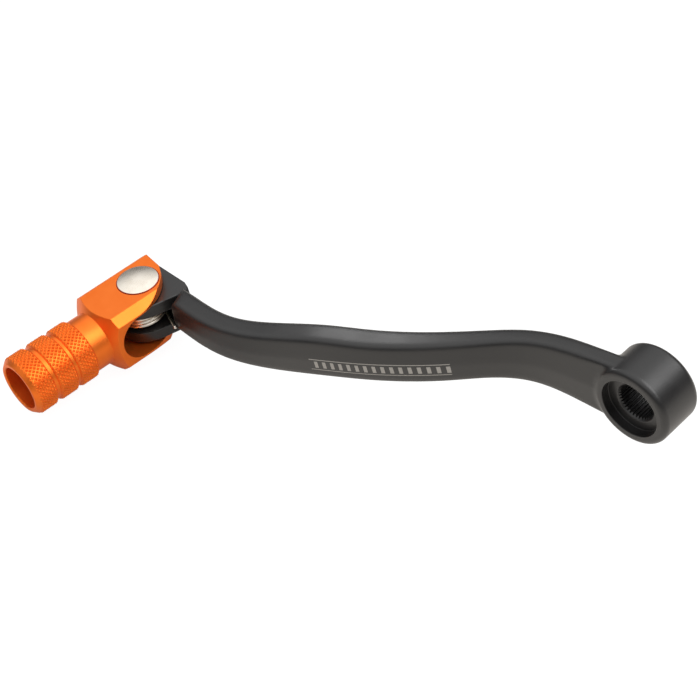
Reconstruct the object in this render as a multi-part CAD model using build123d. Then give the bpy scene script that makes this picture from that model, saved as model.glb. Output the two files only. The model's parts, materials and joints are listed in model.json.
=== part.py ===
from build123d import *
import math
import os

# Gear shift lever with a folding toe piece, in millimetres.
# Frame: the origin is the centre of the splined bore. +X points forward to the toe piece,
# +Y points outward along the shift shaft, +Z points up, parallel to the toe pivot.

CLEAR = 0.03                   # radial clearance of every running fit
BIG = 60.0                     # reach of a cutting solid that only has to be long enough
LEVEL = 0.1                    # an edge whose heading rises less than this counts as flat
PARALLEL = 0.999               # cosine above which two headings count as the same

# ---- boss that clamps on the shift shaft
BOSS_D = 24.8
BOSS_WIDTH = 15.0
BOSS_RIM_FILLET = 1.8
COUNTERBORE_D = 18.6
COUNTERBORE_DEPTH = 2.9
SPLINE_TEETH = 36
SPLINE_MAJOR_D = 11.9
SPLINE_MINOR_D = 10.9
CREST_SHARE = 0.42             # share of a pitch taken by the flat crest of a tooth
ROOT_SHARE = 0.24              # share of a pitch taken by the root of a space
MOUTH_D = 12.5                 # cone that leads into the spline from the counterbore
MOUTH_END_D = 10.34
MOUTH_DEPTH = 1.15

# ---- toe pivot, and how far the toe piece leans forward of straight outward
PIVOT_X = 162.0
PIVOT_Y = 44.0
PIVOT_Z = -16.0
TOE_TILT_DEG = -5.0

# ---- forged arm, station by station: x, y, z of the centre line, then width and height
ARM_STATIONS = (
    (5.0, 3.4, 0.8, 7.0, 21.0),
    (13.0, 3.6, 1.1, 7.0, 19.6),
    (24.0, 4.7, 1.5, 7.2, 17.4),
    (35.0, 7.1, 1.1, 7.2, 15.3),
    (46.0, 12.2, -0.2, 7.5, 13.9),
    (57.0, 18.6, -1.9, 8.2, 13.9),
    (79.0, 28.9, -4.8, 9.3, 13.9),
    (90.0, 32.9, -6.0, 9.2, 14.3),
    (101.0, 36.7, -7.7, 9.0, 13.8),
    (112.0, 40.3, -9.3, 8.7, 12.8),
    (123.0, 42.6, -10.5, 8.4, 12.0),
    (134.0, 42.6, -11.4, 8.4, 11.5),
    (145.0, 41.1, -12.4, 8.3, 11.3),
    (153.0, 39.7, -13.1, 8.1, 11.2),
)
ARM_DRAFT = 0.7                # how far each side leans in from the parting line
ARM_EDGE_R = 1.4
BOSS_BLEND_R = 3.0             # fillet where the arm runs into the boss

# ---- tongue at the toe end, about the pivot
EYE_R = 10.0
TONGUE_HEIGHT = 14.1
SLOT_HEIGHT = 5.8
SLOT_POCKET_R = 8.3
NOTCH_X = -12.4                # inner end of the open notch between tongue and arm
NOTCH_Y = -5.5
NEAR_EDGE_X = -9.5             # where the near edge of the tongue leaves the eye
NEAR_EDGE_Y = 3.0
FAR_EDGE = ((3.0, -11.0), (-9.7, -10.1), (-12.2, -9.1), (-15.0, -7.4), (-20.0, -6.5))
TONGUE_ROOT = (-20.0, -4.5)    # a point well inside the arm
ARM_CORNER_X = -14.8           # near corner of the arm's end face
ARM_CORNER_Y = 0.85
END_ROUND = 1.9                # radius that rounds the arm's top down to the tongue's
END_SETBACK = 0.5              # how far that rounding starts behind the end face
CORNER_RUN = 1.1               # how far the rounding of that corner reaches along each side
NEAR_SIDE = (-1.0, 0.19)       # heading of the arm's outer side, away from the corner
TONGUE_TOP_CHAMFER = 0.3
TONGUE_UNDER_FILLET = 0.9
RAMP_FOOT = (-11.5, -8.0)      # x and z where the arm's underside starts to rise
RAMP_TOP = (-20.5, -1.5)
SLOT_OPENING = ((-2.0, -7.9), (-12.4, -4.9), (-13.2, -3.5), (-18.0, 16.0), (12.0, 16.0),
                (12.0, 1.0), (0.0, 1.0))
STOP_NOSE = (3.0, 8.0, 9.5)    # x where the nose starts, ends, and its width at the eye

# ---- toe piece, along its own axis from the pivot
CLEVIS_HEIGHT = 20.8
CLEVIS_WIDTH = 22.0
BEVEL_ACROSS = 3.0
BEVEL_DOWN = 2.4
EAR_CORNER_Y = -9.7            # the ears end square on one side and rounded on the other
EAR_CORNER_R = 1.4
EAR_ARC_R = 19.1
EAR_ARC_START_X = 0.5
EAR_ARC_END_Y = 8.8            # where the arc runs out along the side of the block
CLEVIS_GAP = 15.0
GAP_END_Y = 16.3
NECK_R = 8.9
SHOULDER_Y = 19.3
SHOULDER_SLOPE = 0.62          # fall of the conical shoulder per millimetre of radius
BAND_ROOT_R = 9.5              # root of the knurl, whose crests stand 0.5 above it
GROOVE_R = 8.95
BAND_STARTS = (25.2, 32.9, 40.8)
BAND_WIDTH = 6.7
BAND_EDGE = 0.5                # length of the sloping edge of a band along the axis
TOE_LENGTH = 48.5
TOE_RIM_R = 8.3
RIM_CHAMFER = 0.3
TOE_HOLE_R = 7.2
TOE_HOLE_FLOOR_Y = 21.8

# ---- rivet, sleeve, washers and spring on the pivot
RIVET_SHANK_D = 7.0
RIVET_HEAD_D = 13.0
RIVET_RIM_H = 0.3
RIVET_DOME_H = 0.9
RIVET_TAIL_D = 9.6
RIVET_TAIL_H = 1.5
SLEEVE_D = 9.6
TAIL_WASHER_D = 12.5
TAIL_WASHER_T = 0.8
THRUST_WASHER_D = 14.0
THRUST_WASHER_T = 0.38
WIRE_D = 1.15
COIL_R = 7.0
COIL_SHIFT_Y = 1.4             # the loose coil lies to the outer side of its sleeve
COIL_DROP = 0.1
COIL_PITCH = 1.3
COIL_FULL_TURNS = 4
ARM_LEG_DEG = 242.6            # where the leg that bears on the arm joins the coil
ARM_LEG_TIP = (-15.2, 1.15, -0.5)
TOE_LEG_DEG = 20.0             # where the leg that pushes the toe piece leaves the coil
TOE_LEG_LENGTH = 16.6
LEG_HOLE_D = 1.6
LEG_HOLE_FROM = 0.7            # a leg's hole runs between these shares of the leg's length
LEG_HOLE_TO = 1.04

HALF_BOSS = BOSS_WIDTH / 2
HALF_TONGUE = TONGUE_HEIGHT / 2
HALF_SLOT = SLOT_HEIGHT / 2
HALF_GAP = CLEVIS_GAP / 2
HALF_CLEVIS = CLEVIS_HEIGHT / 2
HALF_WIDTH = CLEVIS_WIDTH / 2
GAP_CENTRE_Y = GAP_END_Y - HALF_GAP
BORE_FLOOR_Y = HALF_BOSS - COUNTERBORE_DEPTH

PIVOT = Location((PIVOT_X, PIVOT_Y, PIVOT_Z))
TOE = Location((PIVOT_X, PIVOT_Y, PIVOT_Z), (0, 0, TOE_TILT_DEG))


def polar(radius, degrees):
    angle = math.radians(degrees)
    return (radius * math.cos(angle), radius * math.sin(angle))


def prism(points, z_low, z_high):
    """A flat outline in X and Y, raised from z_low to z_high."""
    face = make_face(Polyline(*points, close=True))
    return extrude(Pos(0, 0, z_low) * face, z_high - z_low)


def disc(radius, z_low, z_high):
    return Pos(0, 0, z_low) * extrude(Circle(radius), z_high - z_low)


def along_shaft(radius, y_low, y_high):
    """A cylinder on the shift shaft's axis."""
    return Pos(0, y_low, 0) * extrude(Plane.XZ * Circle(radius), -(y_high - y_low))


# ---------------------------------------------------------------- lever arm

def arm_section(plane, width, height):
    """Forged section: flat top and bottom, sides that lean in from a parting line."""
    across = width / 2
    up = height / 2
    inner = across - ARM_DRAFT
    points = ((inner, up), (across, 0), (inner, -up), (-inner, -up), (-across, 0), (-inner, up))
    face = make_face(Polyline(*points, close=True))
    corners = [v for v in face.vertices() if abs(v.Y) > up / 2]
    return plane * fillet(corners, ARM_EDGE_R)


def arm_bar():
    path = Spline(*[(x, y, z) for x, y, z, width, height in ARM_STATIONS])
    sections = []
    for x, y, z, width, height in ARM_STATIONS:
        t = path.param_at_point((x, y, z))
        heading = path % t
        side = Vector(-heading.Y, heading.X, 0)
        plane = Plane(origin=(x, y, z), x_dir=side, z_dir=heading)
        sections.append(arm_section(plane, width, height))
    return loft(sections)


def spline_outline():
    """Bore outline: flat-crested teeth at the minor radius, roots at the major radius."""
    pitch = 360 / SPLINE_TEETH
    half_crest = pitch * CREST_SHARE / 2
    half_root = pitch * ROOT_SHARE / 2
    crest_r = SPLINE_MINOR_D / 2
    root_r = SPLINE_MAJOR_D / 2
    edges = []
    for tooth in range(SPLINE_TEETH):
        crest = tooth * pitch
        root = crest + pitch / 2
        crest_a = polar(crest_r, crest - half_crest)
        crest_b = polar(crest_r, crest + half_crest)
        root_a = polar(root_r, root - half_root)
        root_b = polar(root_r, root + half_root)
        next_crest = polar(crest_r, crest + pitch - half_crest)
        edges.append(ThreePointArc(crest_a, polar(crest_r, crest), crest_b))
        edges.append(Line(crest_b, root_a))
        edges.append(ThreePointArc(root_a, polar(root_r, root), root_b))
        edges.append(Line(root_b, next_crest))
    return make_face(edges)


def boss_cavity():
    """Splined through bore, its mouth chamfer, and the counterbore for the clamp bolt's head."""
    bore = Pos(0, -HALF_BOSS - 1, 0) * extrude(Plane.XZ * spline_outline(), -(BOSS_WIDTH + 2))
    counterbore = along_shaft(COUNTERBORE_D / 2, BORE_FLOOR_Y, HALF_BOSS + 1)
    mouth = make_face(Polyline(
        (0, BORE_FLOOR_Y), (MOUTH_D / 2, BORE_FLOOR_Y),
        (MOUTH_END_D / 2, BORE_FLOOR_Y - MOUTH_DEPTH), (0, BORE_FLOOR_Y - MOUTH_DEPTH),
        close=True,
    ))
    return bore + counterbore + revolve(mouth, Axis.Y)


def boss_blank():
    blank = along_shaft(BOSS_D / 2, -HALF_BOSS, HALF_BOSS)
    rims = blank.edges().filter_by(GeomType.CIRCLE)
    return fillet(rims, BOSS_RIM_FILLET)


def notch():
    """The open notch between the tongue and the arm's end face, whose near corner is rounded."""
    root = Vector(NOTCH_X, NOTCH_Y)
    corner = Vector(ARM_CORNER_X, ARM_CORNER_Y)
    to_root = (root - corner).normalized()
    to_boss = Vector(*NEAR_SIDE).normalized()
    half_angle = math.radians(to_root.get_angle(to_boss) / 2)
    radius = CORNER_RUN * math.tan(half_angle)
    inward = (to_root + to_boss).normalized()
    round_start = corner + to_root * CORNER_RUN
    round_middle = corner + inward * radius * (1 / math.sin(half_angle) - 1)
    round_end = corner + to_boss * CORNER_RUN
    near_edge = Vector(NEAR_EDGE_X, NEAR_EDGE_Y) - root
    outline = make_face([
        Line(root, round_start),
        ThreePointArc(round_start, round_middle, round_end),
        Polyline(round_end, (round_end.X, BIG), root + near_edge * (BIG / near_edge.length), root),
    ])
    return extrude(Pos(0, 0, -BIG) * outline, 2 * BIG)


def end_round():
    """Cutter that rounds the arm's top down to the tongue, along the line of the end face."""
    turn = math.degrees(math.atan2(ARM_CORNER_Y - NOTCH_Y, ARM_CORNER_X - NOTCH_X)) - 90
    top = HALF_TONGUE + END_ROUND
    bulge = END_ROUND * math.sqrt(0.5)
    profile = make_face([
        ThreePointArc((-END_ROUND, top), (bulge - END_ROUND, HALF_TONGUE + bulge), (0, HALF_TONGUE)),
        Polyline((0, HALF_TONGUE), (BIG, HALF_TONGUE), (BIG, BIG), (-END_ROUND, BIG),
                 (-END_ROUND, top)),
    ])
    cutter = Pos(-END_SETBACK, 0, 0) * extrude(Plane.XZ * profile, BIG, both=True)
    return Pos(NOTCH_X, NOTCH_Y, 0) * Rot(0, 0, turn) * cutter


def on_seen_edge(edge):
    """True for the flat edges of the tongue along the eye and its near side."""
    if abs(abs(edge.center().Z) - HALF_TONGUE) > CLEAR or abs((edge % 0.5).Z) > LEVEL:
        return False
    middle = edge @ 0.5
    if edge.geom_type == GeomType.CIRCLE:
        return abs(math.hypot(middle.X, middle.Y) - EYE_R) < CLEAR
    run = (edge @ 1 - edge @ 0).normalized()
    along = Vector(NOTCH_X - NEAR_EDGE_X, NOTCH_Y - NEAR_EDGE_Y).normalized()
    return edge.geom_type == GeomType.LINE and abs(run.dot(along)) > PARALLEL


def tongue_blank():
    """Eye, straight near edge, far flank that runs into the arm, and the stop nose."""
    outline = make_face(Polyline(
        (0, 0), (NEAR_EDGE_X, NEAR_EDGE_Y), (NOTCH_X, NOTCH_Y), TONGUE_ROOT, *reversed(FAR_EDGE),
        close=True,
    ))
    flank = extrude(Pos(0, 0, -HALF_TONGUE) * outline, TONGUE_HEIGHT)
    tongue = disc(EYE_R, -HALF_TONGUE, HALF_TONGUE) + flank
    seen = [e for e in tongue.edges() if on_seen_edge(e)]
    tongue = chamfer([e for e in seen if e.center().Z > 0], TONGUE_TOP_CHAMFER)
    seen = [e for e in tongue.edges() if on_seen_edge(e) and e.center().Z < 0]
    tongue = fillet(seen, TONGUE_UNDER_FILLET)
    stop_y = GAP_CENTRE_Y + math.sqrt(HALF_GAP**2 - (HALF_TONGUE + CLEAR) ** 2)
    start_x, end_x, eye_x = STOP_NOSE
    nose = prism(((0, 0), (eye_x, 0), (end_x, stop_y), (start_x, stop_y)),
                 -HALF_TONGUE, HALF_TONGUE)
    return tongue + Rot(0, 0, TOE_TILT_DEG) * nose


def under_ramp():
    """Wedge below the root of the tongue, so that its underside rises to the arm's."""
    far_x = -BIG / 2
    ramp = make_face(Polyline(RAMP_FOOT, RAMP_TOP, (far_x, RAMP_TOP[1]), (far_x, -BIG),
                              (RAMP_FOOT[0], -BIG), close=True))
    return Pos(0, BIG / 2, 0) * extrude(Plane.XZ * ramp, BIG)


def spring_slot():
    """Pocket for the coil, open towards the notch and the toe piece."""
    return disc(SLOT_POCKET_R, -HALF_SLOT, HALF_SLOT) + prism(SLOT_OPENING, -HALF_SLOT, HALF_SLOT)


def on_boss_wall(edge):
    """True for an edge that the arm leaves on the round wall or the rim fillets of the boss."""
    if edge.geom_type == GeomType.CIRCLE or edge.center().X < BOSS_BLEND_R:
        return False
    points = [edge @ t for t in (0, 0.5, 1)]
    return all(abs(math.hypot(p.X, p.Z) - BOSS_D / 2) < CLEAR for p in points)


def lever_arm():
    body = boss_blank() + arm_bar()
    body = fillet([e for e in body.edges() if on_boss_wall(e)], BOSS_BLEND_R)
    body = body - PIVOT * notch() - PIVOT * end_round()
    body = body - PIVOT * leg_hole(ARM_LEG_START, ARM_LEG_RUN)
    tongue = tongue_blank() - under_ramp()
    body = body + PIVOT * tongue
    body = body - PIVOT * spring_slot()
    body = body - PIVOT * disc(SLEEVE_D / 2 + CLEAR, -BIG, BIG)
    return body - boss_cavity()


# ---------------------------------------------------------------- toe piece

def clevis_block():
    """Bevelled block, its end rounded in plan, trimmed by the conical shoulder."""
    flat = HALF_WIDTH - BEVEL_ACROSS
    side = HALF_CLEVIS - BEVEL_DOWN
    section = make_face(Polyline(
        (flat, HALF_CLEVIS), (HALF_WIDTH, side), (HALF_WIDTH, -side), (flat, -HALF_CLEVIS),
        (-flat, -HALF_CLEVIS), (-HALF_WIDTH, -side), (-HALF_WIDTH, side), (-flat, HALF_CLEVIS),
        close=True,
    ))
    block = Pos(0, -SHOULDER_Y, 0) * extrude(Plane.XZ * section, -2 * SHOULDER_Y)
    round_x = HALF_WIDTH - EAR_CORNER_R
    round_y = EAR_CORNER_Y + EAR_CORNER_R
    corner_x, corner_y = polar(EAR_CORNER_R, -45)
    arc_centre = Vector(EAR_ARC_R - HALF_WIDTH, EAR_ARC_END_Y)
    start_deg = 180 + math.degrees(math.acos((arc_centre.X - EAR_ARC_START_X) / EAR_ARC_R))
    arc_start = arc_centre + Vector(*polar(EAR_ARC_R, start_deg))
    arc_middle = arc_centre + Vector(*polar(EAR_ARC_R, (start_deg + 180) / 2))
    plan = make_face([
        Polyline((-HALF_WIDTH, EAR_ARC_END_Y), (-HALF_WIDTH, BIG), (HALF_WIDTH, BIG),
                 (HALF_WIDTH, round_y)),
        ThreePointArc((HALF_WIDTH, round_y), (round_x + corner_x, round_y + corner_y),
                      (round_x, EAR_CORNER_Y)),
        Line((round_x, EAR_CORNER_Y), arc_start),
        ThreePointArc(arc_start, arc_middle, (-HALF_WIDTH, EAR_ARC_END_Y)),
    ])
    outline = extrude(Pos(0, 0, -BIG / 2) * plan, BIG)
    reach = 2 * HALF_WIDTH
    cone = make_face(Polyline(
        (0, -reach), (reach, -reach), (reach, SHOULDER_Y - SHOULDER_SLOPE * (reach - NECK_R)),
        (NECK_R, SHOULDER_Y), (0, SHOULDER_Y), close=True,
    ))
    return block & outline & revolve(cone, Axis.Y)


def peg():
    """Neck and the three bands, turned about the toe piece's axis."""
    points = [(0, GAP_END_Y - 1), (NECK_R, GAP_END_Y - 1)]
    floor_r = NECK_R
    for start in BAND_STARTS:
        points.append((floor_r, start))
        points.append((BAND_ROOT_R, start + BAND_EDGE))
        points.append((BAND_ROOT_R, start + BAND_WIDTH - BAND_EDGE))
        floor_r = GROOVE_R
        if start != BAND_STARTS[-1]:
            points.append((floor_r, start + BAND_WIDTH))
    points.append((TOE_RIM_R, TOE_LENGTH))
    points.append((0, TOE_LENGTH))
    return revolve(make_face(Polyline(*points, close=True)), Axis.Y)


def peg_hole():
    mouth_r = TOE_HOLE_R + RIM_CHAMFER
    outline = make_face(Polyline(
        (0, TOE_HOLE_FLOOR_Y), (TOE_HOLE_R, TOE_HOLE_FLOOR_Y),
        (TOE_HOLE_R, TOE_LENGTH - RIM_CHAMFER), (mouth_r, TOE_LENGTH), (0, TOE_LENGTH),
        close=True,
    ))
    return revolve(outline, Axis.Y)


def clevis_gap():
    """Slot for the tongue, milled across with a full-round end."""
    across = 2 * HALF_WIDTH
    outline = make_face([
        Polyline((GAP_CENTRE_Y, HALF_GAP), (-BIG, HALF_GAP), (-BIG, -HALF_GAP),
                 (GAP_CENTRE_Y, -HALF_GAP)),
        ThreePointArc((GAP_CENTRE_Y, -HALF_GAP), (GAP_END_Y, 0), (GAP_CENTRE_Y, HALF_GAP)),
    ])
    return extrude(Plane.YZ * outline, across / 2, both=True)


def toe_piece():
    body = clevis_block() + peg() - peg_hole() - clevis_gap()
    body = body - disc(RIVET_SHANK_D / 2 + CLEAR, -BIG, BIG)
    return TOE * body - PIVOT * leg_hole(TOE_LEG_START, TOE_LEG_RUN)


# ---------------------------------------------------------------- pivot hardware

def dome(radius, height):
    """A shallow domed cap standing on Z = 0."""
    sphere_r = (radius**2 + height**2) / (2 * height)
    ball = Pos(0, 0, height - sphere_r) * Sphere(sphere_r)
    return ball & disc(radius, 0, height)


def ring(outer_r, inner_r, z_low, z_high):
    return PIVOT * (disc(outer_r, z_low, z_high) - disc(inner_r, z_low, z_high))


def pivot_rivet():
    """Shallow domed head on the upper ear, plain shank, tail peened over its washer."""
    head = disc(RIVET_HEAD_D / 2, HALF_CLEVIS, HALF_CLEVIS + RIVET_RIM_H)
    crown = Pos(0, 0, HALF_CLEVIS + RIVET_RIM_H) * dome(RIVET_HEAD_D / 2, RIVET_DOME_H)
    tail_z = -HALF_CLEVIS - TAIL_WASHER_T
    shank = disc(RIVET_SHANK_D / 2, tail_z, HALF_CLEVIS)
    tail = Pos(0, 0, tail_z) * Rot(180, 0, 0) * dome(RIVET_TAIL_D / 2, RIVET_TAIL_H)
    return PIVOT * (head + crown + shank + tail)


def pivot_sleeve():
    """Spacer clamped between the ears: the tongue and the coil turn on it."""
    return ring(SLEEVE_D / 2, RIVET_SHANK_D / 2 + CLEAR, -HALF_GAP, HALF_GAP)


def rivet_washer():
    bore_r = RIVET_SHANK_D / 2 + CLEAR
    return ring(TAIL_WASHER_D / 2, bore_r, -HALF_CLEVIS - TAIL_WASHER_T, -HALF_CLEVIS)


def thrust_washer(side):
    """Thin washer in the gap between an ear and the tongue, above (+1) or below (-1)."""
    middle = side * (HALF_TONGUE + HALF_GAP) / 2
    half = THRUST_WASHER_T / 2
    return ring(THRUST_WASHER_D / 2, SLEEVE_D / 2 + CLEAR, middle - half, middle + half)


def upper_thrust_washer():
    return thrust_washer(1)


def lower_thrust_washer():
    return thrust_washer(-1)


# ---------------------------------------------------------------- return spring

COIL_DEG = 360 * COIL_FULL_TURNS + TOE_LEG_DEG - ARM_LEG_DEG
COIL_HEIGHT = COIL_PITCH * COIL_DEG / 360
COIL_BASE = Vector(0, COIL_SHIFT_Y, -COIL_HEIGHT / 2 - COIL_DROP)
COIL_CROWN = Vector(0, COIL_SHIFT_Y, COIL_HEIGHT / 2 - COIL_DROP)
ARM_LEG_START = Vector(*polar(COIL_R, ARM_LEG_DEG)) + COIL_BASE
ARM_LEG_RUN = Vector(ARM_LEG_TIP) - ARM_LEG_START
TOE_LEG_START = Vector(*polar(COIL_R, TOE_LEG_DEG)) + COIL_CROWN
TOE_LEG_RUN = Vector(*polar(TOE_LEG_LENGTH, TOE_LEG_DEG + 90), 0)


def leg_hole(start, run):
    """Hole that takes the outer part of a leg."""
    inner = start + run * LEG_HOLE_FROM
    base = Plane(origin=inner, z_dir=run)
    return extrude(base * Circle(LEG_HOLE_D / 2), run.length * (LEG_HOLE_TO - LEG_HOLE_FROM))


def return_spring():
    """Torsion coil in the slot of the tongue, wound tighter as the toe piece folds back."""
    coil = Helix(COIL_PITCH, COIL_HEIGHT, COIL_R)
    coil = Pos(*COIL_BASE) * Rot(0, 0, ARM_LEG_DEG) * coil
    arm_leg = Spline(ARM_LEG_START + ARM_LEG_RUN, coil @ 0, tangents=(-ARM_LEG_RUN, coil % 0))
    toe_leg = Spline(coil @ 1, TOE_LEG_START + TOE_LEG_RUN, tangents=(coil % 1, TOE_LEG_RUN))
    path = Wire([arm_leg, coil, toe_leg])
    wire = Plane(origin=path @ 0, z_dir=path % 0) * Circle(WIRE_D / 2)
    return PIVOT * sweep(wire, path=path)


PARTS = {
    "lever_arm": lever_arm,
    "toe_piece": toe_piece,
    "pivot_rivet": pivot_rivet,
    "pivot_sleeve": pivot_sleeve,
    "rivet_washer": rivet_washer,
    "upper_thrust_washer": upper_thrust_washer,
    "lower_thrust_washer": lower_thrust_washer,
    "return_spring": return_spring,
}

os.makedirs("parts", exist_ok=True)
for name, build in PARTS.items():
    export_step(build(), "parts/" + name + ".step")
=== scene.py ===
"""Looks of the gear shift lever: knurled bands, wound return spring, anodised and steel finishes."""
import json
import math

import bpy
import bmesh
from mathutils import Matrix, Vector

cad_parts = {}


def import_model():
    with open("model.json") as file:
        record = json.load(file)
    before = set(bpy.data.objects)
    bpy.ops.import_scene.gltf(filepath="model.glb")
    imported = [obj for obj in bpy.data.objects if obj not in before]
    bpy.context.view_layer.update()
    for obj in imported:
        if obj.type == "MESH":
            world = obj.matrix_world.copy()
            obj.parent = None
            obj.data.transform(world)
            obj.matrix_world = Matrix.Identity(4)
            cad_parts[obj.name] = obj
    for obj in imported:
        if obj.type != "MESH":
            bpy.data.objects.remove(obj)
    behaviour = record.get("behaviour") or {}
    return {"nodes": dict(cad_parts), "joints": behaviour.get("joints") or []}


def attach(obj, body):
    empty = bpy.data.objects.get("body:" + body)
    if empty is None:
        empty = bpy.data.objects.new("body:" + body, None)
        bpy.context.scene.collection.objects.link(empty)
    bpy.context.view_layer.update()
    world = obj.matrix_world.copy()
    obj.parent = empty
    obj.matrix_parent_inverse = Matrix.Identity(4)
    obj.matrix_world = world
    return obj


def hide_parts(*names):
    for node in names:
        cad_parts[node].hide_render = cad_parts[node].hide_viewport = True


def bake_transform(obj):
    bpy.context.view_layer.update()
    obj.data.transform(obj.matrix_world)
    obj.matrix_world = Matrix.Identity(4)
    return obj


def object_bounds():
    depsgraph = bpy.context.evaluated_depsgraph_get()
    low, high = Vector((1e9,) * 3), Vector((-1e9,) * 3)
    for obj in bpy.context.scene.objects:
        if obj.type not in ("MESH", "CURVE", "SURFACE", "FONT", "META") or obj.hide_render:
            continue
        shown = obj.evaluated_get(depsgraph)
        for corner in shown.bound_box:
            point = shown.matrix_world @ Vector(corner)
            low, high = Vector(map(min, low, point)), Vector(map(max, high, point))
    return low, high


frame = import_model()
cad_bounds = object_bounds()

MM = 0.001
PIVOT = Vector(frame["joints"][0]["pos_m"])
TOE_TILT = math.radians(-5.0)          # the toe piece leans forward of straight outward
TOE_FRAME = Matrix.Translation(PIVOT) @ Matrix.Rotation(TOE_TILT, 4, "Z")

# ---- knurled bands, along the toe piece's own axis, in millimetres
BAND_STARTS = (25.2, 32.9, 40.8)
BAND_WIDTH = 6.7
GROOVE_R = 8.95
CREST_R = 10.0
KNURL_DEPTH = 0.68
KNURL_CELLS = 40                       # diamonds around the band
KNURL_PITCH = 1.6                      # length of a diamond along the axis
KNURL_STEPS = 8                        # mesh steps across a diamond, an even number
KNURL_SHARPNESS = 1.05                 # above 1 the pyramids are blunt
CHAMFER_RUN = 0.8
FRONT_CHAMFER_FROM = 46.6
FRONT_END = 48.42
FRONT_R = 8.4
BAND_INNER_R = 8.6
FRONT_WALL = 0.3                       # thickness of the front band at its chamfered end
SKIN = 0.02                            # keeps a band's edge just proud of the groove below it
KNURL_CREASE_DEG = 22                  # steeper edges than this are drawn sharp

# ---- return spring, about the pivot, in millimetres
WIRE_R = 0.575
COIL_R = 7.0
COIL_PITCH = 1.3
COIL_FULL_TURNS = 4
ARM_LEG_DEG = 242.6                    # where the leg that bears on the arm joins the coil
TOE_LEG_DEG = 20.0                     # where the leg that pushes the toe piece leaves the coil
COIL_START = math.radians(ARM_LEG_DEG)
COIL_SWEEP = math.radians(360 * COIL_FULL_TURNS + TOE_LEG_DEG - ARM_LEG_DEG)
COIL_HEIGHT = COIL_PITCH * COIL_SWEEP / math.tau
COIL_CENTRE = Vector((0, 1.4, -0.1))   # the loose coil lies to the outer side of its sleeve
ARM_LEG_TIP = Vector((-15.2, 1.15, -0.5))
TOE_LEG_LENGTH = 16.6
COIL_STEPS_PER_TURN = 72
LEG_STEPS = 24
WIRE_SIDES = 20
WIRE_CREASE_DEG = 60
DOME_AT = 0.6                          # the ring that domes a wire's end, in wire radii
DOME_R = 0.8

# ---- rounding of the black edges as shaded, in metres: crisp at both ends, soft along the arm
CRISP_R = 0.00035
ARM_SOFT_R = 0.0028
SOFT_FROM = 0.009
SOFT_RISE = 0.008
SOFT_TO = 0.1515
SOFT_FALL = 0.004

# ---- painted shadow: a dark line around the rivet's head, in colour only, in millimetres
RING_R = 6.85

# ---- mark on the outer side of the arm, in colour only: lengths in millimetres
MARK_CENTRE = (73.0, -5.9)             # x and z of its middle
MARK_SLOPE = -0.133                    # fall of the arm along the mark
MARK_LENGTH = 40.0
MARK_HEIGHT = 4.4
MARK_BARS = 16
MARK_PHASE = 40.0                      # whole bars added, so that their count stays positive
MARK_BAR_SHARE = 0.42                  # width of a bar, as a share of the room it has
# The next three are measured from the mark's middle, as shares of its length or height.
MARK_EDGE = 0.5
MARK_RULES_FROM = 0.44
MARK_BAR_REACH = 0.3
MARK_FACING = 0.5                      # the mark is drawn where the normal's Y part is larger

# ---- floor and the light from it, distances in metres
FLOOR_HALF = 6.0
FLOOR_GAP = 0.5 * MM
GLOW = 0.95                            # as the camera sees it
BOUNCE = 0.50                          # as the part sees it
BOUNCE_FROM = 0.16
BOUNCE_FADE = 0.35
SHADE_AT = (0.164, 0.066)              # darker under the toe piece
SHADE_R = 0.022
SHADE_FADE = 0.035
SHADE_LEFT = 0.33

# ---- room: HORIZON_TO and SKY_FROM are the upward part of a direction, 1 straight up
WORLD_STRENGTH = 1.37
WORLD_SEEN = (0.8, 0.8, 0.8, 1)        # white to the camera at that strength
HORIZON_TO = 0.30
HORIZON = (0.13, 0.13, 0.135, 1)
SKY_FROM = 0.66
SKY = (0.80, 0.80, 0.80, 1)
ZENITH = (1, 1, 1, 1)

# ---- small light mirrored by the top of the arm's outer bend
ARM_SHEEN_AT = Vector((79.0, 29.0, 2.1)) * MM
ARM_SHEEN_FROM = (0.70, -0.45, 0.55)

# ---- camera
CAMERA_AZIMUTH = math.radians(-50.55)
CAMERA_ELEVATION = math.radians(41.68)
CAMERA_ROLL = math.radians(-10.96)
CAMERA_DISTANCE = 593.2 * MM
CAMERA_TARGET = Vector((82.30, 31.57, -2.74)) * MM
SENSOR = 36.0
LENS = 105.8
CLIP_START = 0.01

# ---- usual range of a noise texture
NOISE_LOW = 0.3
NOISE_HIGH = 0.7


# ---------------------------------------------------------------- mesh helpers

def mesh_object(name, vertices, faces):
    mesh = bpy.data.meshes.new(name)
    mesh.from_pydata([tuple(v) for v in vertices], [], faces)
    mesh.validate()
    obj = bpy.data.objects.new(name, mesh)
    bpy.context.scene.collection.objects.link(obj)
    return obj


def outward(obj):
    """Points every face of a closed mesh outward."""
    work = bmesh.new()
    work.from_mesh(obj.data)
    bmesh.ops.recalc_face_normals(work, faces=work.faces)
    work.to_mesh(obj.data)
    work.free()


def smooth_shade(obj, sharp_degrees):
    """Smooth shading with edges above the given angle kept sharp."""
    for face in obj.data.polygons:
        face.use_smooth = True
    obj.data.set_sharp_from_angle(angle=math.radians(sharp_degrees))


def ring_strip(rows):
    """Quads that join a closed loop of rings, each a row of vertex indices."""
    faces = []
    for lower, upper in zip(rows, rows[1:] + rows[:1]):
        count = len(lower)
        for i in range(count):
            j = (i + 1) % count
            faces.append((lower[i], lower[j], upper[j], upper[i]))
    return faces


def creased_strip(rows):
    """As ring_strip, in triangles whose diagonals run along the grooves of the knurl."""
    half = KNURL_STEPS // 2
    faces = []
    for index, (a, b, c, d) in enumerate(ring_strip(rows)):
        row, column = divmod(index, len(rows[0]))
        if (column + row + 1) % half == 0:
            faces += [(a, b, d), (b, c, d)]
        else:
            faces += [(a, b, c), (a, c, d)]
    return faces


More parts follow.
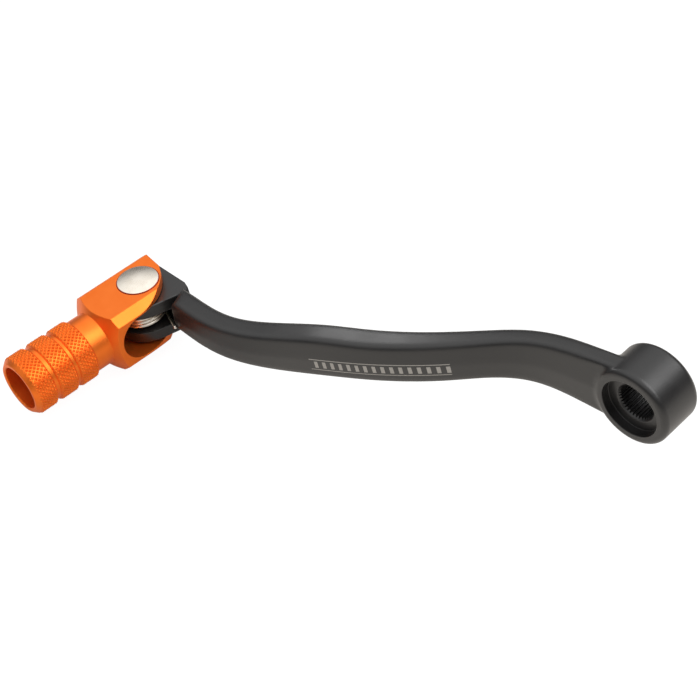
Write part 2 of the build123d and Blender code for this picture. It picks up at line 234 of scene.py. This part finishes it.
def tube(name, path, radius, sides):
    """Round wire along a list of points, with domed ends."""
    tangents = []
    for i in range(len(path)):
        ahead = path[min(i + 1, len(path) - 1)]
        behind = path[max(i - 1, 0)]
        tangents.append((ahead - behind).normalized())
    rings = [(path[0] - tangents[0] * radius * DOME_AT, tangents[0], radius * DOME_R)]
    rings += [(p, t, radius) for p, t in zip(path, tangents)]
    rings.append((path[-1] + tangents[-1] * radius * DOME_AT, tangents[-1], radius * DOME_R))
    vertices = []
    normal = tangents[0].orthogonal().normalized()
    for centre, tangent, r in rings:
        normal = (normal - tangent * normal.dot(tangent)).normalized()
        binormal = tangent.cross(normal)
        for k in range(sides):
            a = math.tau * k / sides
            vertices.append(centre + (normal * math.cos(a) + binormal * math.sin(a)) * r)
    faces = []
    for i in range(len(rings) - 1):
        for k in range(sides):
            n = (k + 1) % sides
            low, high = i * sides, (i + 1) * sides
            faces.append((low + k, low + n, high + n, high + k))
    for end, tangent, ring in ((path[0], -tangents[0], 0), (path[-1], tangents[-1], len(rings) - 1)):
        vertices.append(end + tangent * radius)
        for k in range(sides):
            faces.append((ring * sides + k, ring * sides + (k + 1) % sides, len(vertices) - 1))
    obj = mesh_object(name, vertices, faces)
    outward(obj)
    smooth_shade(obj, WIRE_CREASE_DEG)
    return obj


# ---------------------------------------------------------------- knurled bands

def triangle(phase):
    """Triangle wave: 0 at whole numbers, 1 half-way between them."""
    return 1 - abs(2 * (phase - math.floor(phase)) - 1)


def knurl_radius(turn, along):
    """Diamond knurl: two crossed families of V grooves, blunt pyramids between them."""
    around = turn * KNURL_CELLS
    height = min(triangle(around + along), triangle(around - along)) * KNURL_SHARPNESS
    return CREST_R - KNURL_DEPTH * (1 - min(1, height))


def band_envelope(y, start, front):
    """Largest radius at y: the sloping edges turned on both ends of a band."""
    rise = (CREST_R - GROOVE_R) / CHAMFER_RUN
    limit = GROOVE_R + SKIN + (y - start) * rise
    if front:
        fall = (CREST_R - FRONT_R) / (FRONT_END - FRONT_CHAMFER_FROM)
        return min(limit, CREST_R - (y - FRONT_CHAMFER_FROM) * fall)
    return min(limit, GROOVE_R + SKIN + (start + BAND_WIDTH - y) * rise)


def knurled_band(name, start, front):
    """One closed band, knurled outside and plain inside. The front band ends the toe piece."""
    end = FRONT_END if front else start + BAND_WIDTH
    step = KNURL_PITCH / KNURL_STEPS
    levels = [start + step * i for i in range(int((end - start) / step) + 1)]
    levels.append(end)
    around = KNURL_CELLS * KNURL_STEPS
    vertices = []
    rows = []
    for y in levels:
        rows.append(range(len(vertices), len(vertices) + around))
        limit = band_envelope(y, start, front)
        for i in range(around):
            turn = i / around
            r = min(limit, knurl_radius(turn, (y - start) / KNURL_PITCH))
            vertices.append((r * math.cos(math.tau * turn), y, r * math.sin(math.tau * turn)))
    inner_r = FRONT_R - FRONT_WALL if front else BAND_INNER_R
    for y in (end, start):
        rows.append(range(len(vertices), len(vertices) + around))
        for i in range(around):
            a = math.tau * i / around
            vertices.append((inner_r * math.cos(a), y, inner_r * math.sin(a)))
    obj = mesh_object(name, [Vector(v) * MM for v in vertices], creased_strip(rows))
    outward(obj)
    smooth_shade(obj, KNURL_CREASE_DEG)
    obj.data.transform(TOE_FRAME)
    return obj


# ---------------------------------------------------------------- return spring

def coil_point(share):
    """Point of the coil from the arm's leg (0) to the toe's leg (1), in millimetres about the pivot."""
    a = COIL_START + COIL_SWEEP * share
    z = COIL_HEIGHT * (share - 0.5)
    return COIL_CENTRE + Vector((COIL_R * math.cos(a), COIL_R * math.sin(a), z))


def coil_heading(share):
    small = 0.0005
    return (coil_point(share + small) - coil_point(share - small)).normalized()


def eased_leg(start, heading, tip):
    """A leg that leaves the coil along its heading and runs to the tip (cubic curve)."""
    run = tip - start
    reach = run.length / 3
    points = []
    for i in range(LEG_STEPS + 1):
        t = i / LEG_STEPS
        a = start
        b = start + heading * reach
        c = tip - run.normalized() * reach
        keep = 1 - t
        points.append(a * keep**3 + b * 3 * keep**2 * t + c * 3 * keep * t**2 + tip * t**3)
    return points


def placed(points):
    """Points in millimetres about the pivot, as places in the frame."""
    return [PIVOT + p * MM for p in points]


def return_spring():
    """The coil is built in place and attached to neither body, and each leg rides its own body."""
    steps = int(COIL_STEPS_PER_TURN * COIL_SWEEP / math.tau)
    coil = tube("return_spring_coil", placed([coil_point(i / steps) for i in range(steps + 1)]),
                WIRE_R * MM, WIRE_SIDES)
    arm_leg = tube("return_spring_arm_leg",
                   placed(eased_leg(coil_point(0), -coil_heading(0), ARM_LEG_TIP)),
                   WIRE_R * MM, WIRE_SIDES)
    out = coil_heading(1)
    level = Vector((out.x, out.y, 0)).normalized()
    toe_leg = tube("return_spring_toe_leg",
                   placed(eased_leg(coil_point(1), out, coil_point(1) + level * TOE_LEG_LENGTH)),
                   WIRE_R * MM, WIRE_SIDES)
    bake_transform(coil)
    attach(arm_leg, "arm")
    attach(toe_leg, "toe")
    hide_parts("return_spring")
    return [coil, arm_leg, toe_leg]


# ---------------------------------------------------------------- materials

class Nodes:
    """Short calls for building a material's node tree."""

    def __init__(self, name):
        self.material = bpy.data.materials.new(name)
        self.material.use_nodes = True
        self.tree = self.material.node_tree
        self.shader = self.tree.nodes["Principled BSDF"]
        self.coords = self.add("ShaderNodeTexCoord").outputs["Object"]

    def add(self, kind, **values):
        node = self.tree.nodes.new(kind)
        for key, value in values.items():
            setattr(node, key, value)
        return node

    def link(self, source, target):
        self.tree.links.new(source, target)

    def feed(self, value, target):
        """Links a socket, or sets a plain value."""
        if isinstance(value, bpy.types.NodeSocket):
            self.link(value, target)
        else:
            target.default_value = value

    def math(self, operation, a, b=0.0, clamp=False):
        node = self.add("ShaderNodeMath", operation=operation, use_clamp=clamp)
        self.feed(a, node.inputs[0])
        self.feed(b, node.inputs[1])
        return node.outputs[0]

    def xyz(self, vector=None):
        """X, Y and Z of a vector, or of the object coordinates."""
        node = self.add("ShaderNodeSeparateXYZ")
        self.link(vector or self.coords, node.inputs[0])
        return node.outputs["X"], node.outputs["Y"], node.outputs["Z"]

    def distance(self, centre):
        """Distance in metres from the upright line through a point."""
        x, y, _ = self.xyz()
        dx = self.math("SUBTRACT", x, centre[0])
        dy = self.math("SUBTRACT", y, centre[1])
        squares = self.math("ADD", self.math("MULTIPLY", dx, dx), self.math("MULTIPLY", dy, dy))
        return self.math("SQRT", squares)

    def scaled(self, scale):
        """Object coordinates stretched by a scale along each axis."""
        node = self.add("ShaderNodeMapping")
        self.link(self.coords, node.inputs["Vector"])
        node.inputs["Scale"].default_value = scale
        return node.outputs[0]

    def noise(self, feature_mm, detail=3.0, roughness=0.55, vector=None):
        node = self.add("ShaderNodeTexNoise")
        self.link(vector or self.coords, node.inputs["Vector"])
        node.inputs["Scale"].default_value = 1 / (feature_mm * MM)
        node.inputs["Detail"].default_value = detail
        node.inputs["Roughness"].default_value = roughness
        return node.outputs["Fac"]

    def spread(self, value, low, high):
        """Maps the usual range of noise onto low to high."""
        node = self.add("ShaderNodeMapRange")
        self.feed(value, node.inputs["Value"])
        node.inputs["From Min"].default_value = NOISE_LOW
        node.inputs["From Max"].default_value = NOISE_HIGH
        node.inputs["To Min"].default_value = low
        node.inputs["To Max"].default_value = high
        return node.outputs[0]

    def mix(self, factor, a, b):
        node = self.add("ShaderNodeMix", data_type="RGBA")
        self.feed(factor, node.inputs[0])
        self.feed(a, node.inputs[6])
        self.feed(b, node.inputs[7])
        return node.outputs[2]

    def between(self, noise, a, b):
        """A colour that wanders from a to b with the noise."""
        return self.mix(self.spread(noise, 0, 1), a, b)

    def bump(self, height, depth_mm, strength=1.0, under=None):
        node = self.add("ShaderNodeBump")
        self.feed(height, node.inputs["Height"])
        node.inputs["Distance"].default_value = depth_mm * MM
        node.inputs["Strength"].default_value = strength
        if under:
            self.link(under, node.inputs["Normal"])
        return node.outputs[0]

    def rounded_edges(self, radius, samples=6):
        """Shading as if edges were rounded: the radius, in metres, is a number or a socket."""
        node = self.add("ShaderNodeBevel", samples=samples)
        self.feed(radius, node.inputs["Radius"])
        return node.outputs[0]

    def set(self, **values):
        for key, value in values.items():
            self.feed(value, self.shader.inputs[key.replace("_", " ")])


def mark_mask(n):
    """A row of plain bars between two fine rules, running down the slope of the arm's outer side."""
    x, _, z = n.xyz()
    x = n.math("SUBTRACT", x, MARK_CENTRE[0] * MM)
    drop = n.math("MULTIPLY", x, MARK_SLOPE)
    z = n.math("SUBTRACT", n.math("SUBTRACT", z, MARK_CENTRE[1] * MM), drop)
    along = n.math("DIVIDE", x, MARK_LENGTH * MM)
    up = n.math("DIVIDE", z, MARK_HEIGHT * MM)
    inside = n.math("MULTIPLY", n.math("LESS_THAN", n.math("ABSOLUTE", along), MARK_EDGE),
                    n.math("LESS_THAN", n.math("ABSOLUTE", up), MARK_EDGE))
    rules = n.math("GREATER_THAN", n.math("ABSOLUTE", up), MARK_RULES_FROM)
    phase = n.math("FRACT", n.math("ADD", n.math("MULTIPLY", along, MARK_BARS), MARK_PHASE))
    bars = n.math("MULTIPLY", n.math("LESS_THAN", phase, MARK_BAR_SHARE),
                  n.math("LESS_THAN", n.math("ABSOLUTE", up), MARK_BAR_REACH))
    _, outward_part, _ = n.xyz(n.add("ShaderNodeNewGeometry").outputs["True Normal"])
    outer = n.math("GREATER_THAN", outward_part, MARK_FACING)
    drawn = n.math("MAXIMUM", rules, bars)
    return n.math("MULTIPLY", n.math("MULTIPLY", inside, drawn), outer)


def forged_softness(n):
    """Crisp edges on the machined boss and tongue, soft ones along the forged arm."""
    x, _, _ = n.xyz()
    from_boss = n.math("DIVIDE", n.math("SUBTRACT", x, SOFT_FROM), SOFT_RISE, clamp=True)
    from_toe = n.math("DIVIDE", n.math("SUBTRACT", SOFT_TO, x), SOFT_FALL, clamp=True)
    soft = n.math("MULTIPLY", n.math("MULTIPLY", from_boss, from_toe), ARM_SOFT_R - CRISP_R)
    return n.math("ADD", soft, CRISP_R)


def black_anodised():
    n = Nodes("black_anodised")
    grain = n.noise(feature_mm=0.22, detail=4.0, roughness=0.6)
    cloud = n.noise(feature_mm=9.0, detail=2.0)
    mask = mark_mask(n)
    black = n.between(cloud, (0.0085, 0.008, 0.008, 1), (0.012, 0.0112, 0.011, 1))
    etched = n.mix(n.spread(grain, 0.2, 0.9), (0.22, 0.21, 0.19, 1), (0.42, 0.40, 0.37, 1))
    n.set(
        Base_Color=n.mix(mask, black, etched),
        Roughness=n.math("ADD", n.spread(grain, 0.30, 0.40), n.spread(cloud, -0.03, 0.03)),
        Specular_IOR_Level=0.62,
        Normal=n.bump(grain, depth_mm=0.010,
                      under=n.rounded_edges(forged_softness(n), samples=8)),
    )
    return n.material


def painted_shadow_ring(n):
    """Mask of a painted shadow on the upper ear: a dark disc that the rivet's head covers all but a
    thin line of, standing in for the shade under the head.
    """
    _, _, z = n.xyz()
    close = n.math("LESS_THAN", n.distance(PIVOT), RING_R * MM)
    return n.math("MULTIPLY", close, n.math("GREATER_THAN", z, PIVOT.z))


def orange_anodised():
    n = Nodes("orange_anodised")
    grain = n.noise(feature_mm=0.16, detail=4.0, roughness=0.6)
    cloud = n.noise(feature_mm=6.0, detail=2.0)
    orange = n.between(cloud, (0.93, 0.185, 0.020, 1), (0.96, 0.205, 0.026, 1))
    n.set(
        # orange, with a painted shadow line around the rivet's head
        Base_Color=n.mix(painted_shadow_ring(n), orange, (0.30, 0.022, 0.004, 1)),
        Metallic=0.85,
        Roughness=n.spread(grain, 0.34, 0.44),
        Specular_IOR_Level=0.4,
        Normal=n.bump(grain, depth_mm=0.008, under=n.rounded_edges(0.25 * MM)),
    )
    return n.material


def rivet_steel():
    n = Nodes("rivet_steel")
    cloud = n.noise(feature_mm=4.0, detail=2.0, roughness=0.5)
    fine = n.noise(feature_mm=0.12, detail=3.0, vector=n.scaled((1.0, 0.10, 1.0)))
    scratch = n.noise(feature_mm=0.9, detail=6.0, roughness=0.75,
                      vector=n.scaled((0.12, 1.0, 1.0)))
    tone = n.between(cloud, (0.76, 0.695, 0.60, 1), (0.91, 0.85, 0.755, 1))
    n.set(
        Base_Color=tone,
        Metallic=1.0,
        Roughness=n.math("ADD", n.spread(cloud, 0.26, 0.32), n.spread(fine, -0.03, 0.03)),
        Normal=n.bump(fine, depth_mm=0.0012, under=n.bump(scratch, depth_mm=0.003)),
    )
    return n.material


def bright_steel():
    n = Nodes("bright_steel")
    fine = n.noise(feature_mm=0.08, detail=3.0)
    n.set(
        Base_Color=n.between(fine, (0.50, 0.49, 0.48, 1), (0.62, 0.61, 0.60, 1)),
        Metallic=1.0,
        Roughness=n.spread(fine, 0.25, 0.38),
        Normal=n.bump(fine, depth_mm=0.003, under=n.rounded_edges(0.1 * MM)),
    )
    return n.material


def spring_wire():
    n = Nodes("spring_wire")
    drawn = n.noise(feature_mm=0.06, detail=3.0)
    smear = n.noise(feature_mm=1.5, detail=3.0)
    n.set(
        Base_Color=n.between(smear, (0.82, 0.76, 0.66, 1), (0.92, 0.86, 0.77, 1)),
        Metallic=1.0,
        Roughness=n.spread(smear, 0.26, 0.32),
        Normal=n.bump(drawn, depth_mm=0.0008),
    )
    return n.material


def ramp_out(n, centre, start, run):
    """0 within a distance of a point on the floor, rising to 1 over a run."""
    past = n.math("SUBTRACT", n.distance(centre), start)
    return n.math("DIVIDE", past, run, clamp=True)


def backdrop():
    """White to the camera. To the part it glows softly around it, and less under the toe piece."""
    n = Nodes("backdrop")
    paper = n.noise(feature_mm=3.0, detail=3.0)
    near = n.math("SUBTRACT", 1.0, ramp_out(n, CAMERA_TARGET, BOUNCE_FROM, BOUNCE_FADE))
    clear = n.math("MAXIMUM", ramp_out(n, SHADE_AT, SHADE_R, SHADE_FADE), SHADE_LEFT)
    bounce = n.math("MULTIPLY", n.math("MULTIPLY", near, clear), BOUNCE)
    seen = n.add("ShaderNodeLightPath").outputs["Is Camera Ray"]
    lit = n.between(paper, (0.42, 0.405, 0.39, 1), (0.44, 0.425, 0.41, 1))
    n.set(
        Base_Color=n.mix(seen, lit, (0.12, 0.12, 0.12, 1)),
        Roughness=0.9,
        Specular_IOR_Level=0.1,
        Emission_Color=n.mix(seen, (1, 0.93, 0.83, 1), (1, 1, 1, 1)),
        Emission_Strength=n.math("MAXIMUM", n.math("MULTIPLY", seen, GLOW), bounce),
    )
    return n.material


def give(obj, material):
    """Puts one material in every slot of an object."""
    if not obj.material_slots:
        obj.data.materials.append(material)
    for entry in obj.material_slots:
        entry.material = material


# ---------------------------------------------------------------- studio

def floor():
    edge = FLOOR_HALF
    low = cad_bounds[0][2] - FLOOR_GAP
    corners = [(-edge, -edge, low), (edge, -edge, low), (edge, edge, low), (-edge, edge, low)]
    obj = mesh_object("floor", corners, [(0, 1, 2, 3)])
    give(obj, backdrop())


def world():
    """Bright room above, dark towards the horizon, and plain white where the camera looks past."""
    scene_world = bpy.data.worlds.new("studio")
    scene_world.use_nodes = True
    tree = scene_world.node_tree
    background = tree.nodes["Background"]
    coords = tree.nodes.new("ShaderNodeTexCoord")
    split = tree.nodes.new("ShaderNodeSeparateXYZ")
    ramp = tree.nodes.new("ShaderNodeValToRGB")
    path = tree.nodes.new("ShaderNodeLightPath")
    mix = tree.nodes.new("ShaderNodeMix")
    mix.data_type = "RGBA"
    tree.links.new(coords.outputs["Generated"], split.inputs[0])
    tree.links.new(split.outputs["Z"], ramp.inputs[0])
    tree.links.new(path.outputs["Is Camera Ray"], mix.inputs[0])
    tree.links.new(ramp.outputs[0], mix.inputs[6])
    tree.links.new(mix.outputs[2], background.inputs["Color"])
    mix.inputs[7].default_value = WORLD_SEEN
    first, last = ramp.color_ramp.elements
    first.position = HORIZON_TO
    first.color = HORIZON
    last.position = SKY_FROM
    last.color = SKY
    ramp.color_ramp.elements.new(1.0).color = ZENITH
    background.inputs["Strength"].default_value = WORLD_STRENGTH
    bpy.context.scene.world = scene_world


def softbox(name, direction, distance, size, power, target):
    """A square area light, aimed at the target from a direction."""
    data = bpy.data.lights.new(name, "AREA")
    data.size = size
    data.energy = power
    obj = bpy.data.objects.new(name, data)
    bpy.context.scene.collection.objects.link(obj)
    toward = Vector(direction).normalized()
    obj.visible_camera = False
    obj.location = target + toward * distance
    obj.rotation_euler = toward.to_track_quat("Z", "Y").to_euler()


def lights():
    softbox("overhead", direction=(-0.55, -0.30, 0.80), distance=0.8, size=0.55, power=2.6,
            target=CAMERA_TARGET)
    softbox("arm sheen", direction=ARM_SHEEN_FROM, distance=0.10, size=0.035, power=0.012,
            target=ARM_SHEEN_AT)


def camera():
    data = bpy.data.cameras.new("camera")
    data.sensor_width = SENSOR
    data.lens = LENS
    data.clip_start = CLIP_START
    obj = bpy.data.objects.new("camera", data)
    bpy.context.scene.collection.objects.link(obj)
    flat = math.cos(CAMERA_ELEVATION)
    back = Vector((
        math.sin(CAMERA_AZIMUTH) * flat,
        math.cos(CAMERA_AZIMUTH) * flat,
        math.sin(CAMERA_ELEVATION),
    ))
    right = (-back).cross(Vector((0, 0, 1))).normalized()
    up = right.cross(-back)
    rolled_right = right * math.cos(CAMERA_ROLL) + up * math.sin(CAMERA_ROLL)
    rolled_up = up * math.cos(CAMERA_ROLL) - right * math.sin(CAMERA_ROLL)
    place = CAMERA_TARGET + back * CAMERA_DISTANCE
    rows = zip(rolled_right, rolled_up, back, place)
    obj.matrix_world = Matrix([*rows, (0, 0, 0, 1)])
    bpy.context.scene.camera = obj


# ---------------------------------------------------------------- build

black = black_anodised()
orange = orange_anodised()
rivet = rivet_steel()
steel = bright_steel()
wire = spring_wire()

give(frame["nodes"]["lever_arm"], black)
give(frame["nodes"]["toe_piece"], orange)
give(frame["nodes"]["pivot_rivet"], rivet)
for node in ("pivot_sleeve", "rivet_washer", "upper_thrust_washer", "lower_thrust_washer"):
    give(frame["nodes"][node], steel)

for number, start in enumerate(BAND_STARTS, 1):
    band = knurled_band(f"knurled_band_{number}", start, start == BAND_STARTS[-1])
    give(band, orange)
    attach(band, "toe")

for piece in return_spring():
    give(piece, wire)

floor()
world()
lights()
camera()
bpy.context.scene.view_settings.view_transform = "Standard"
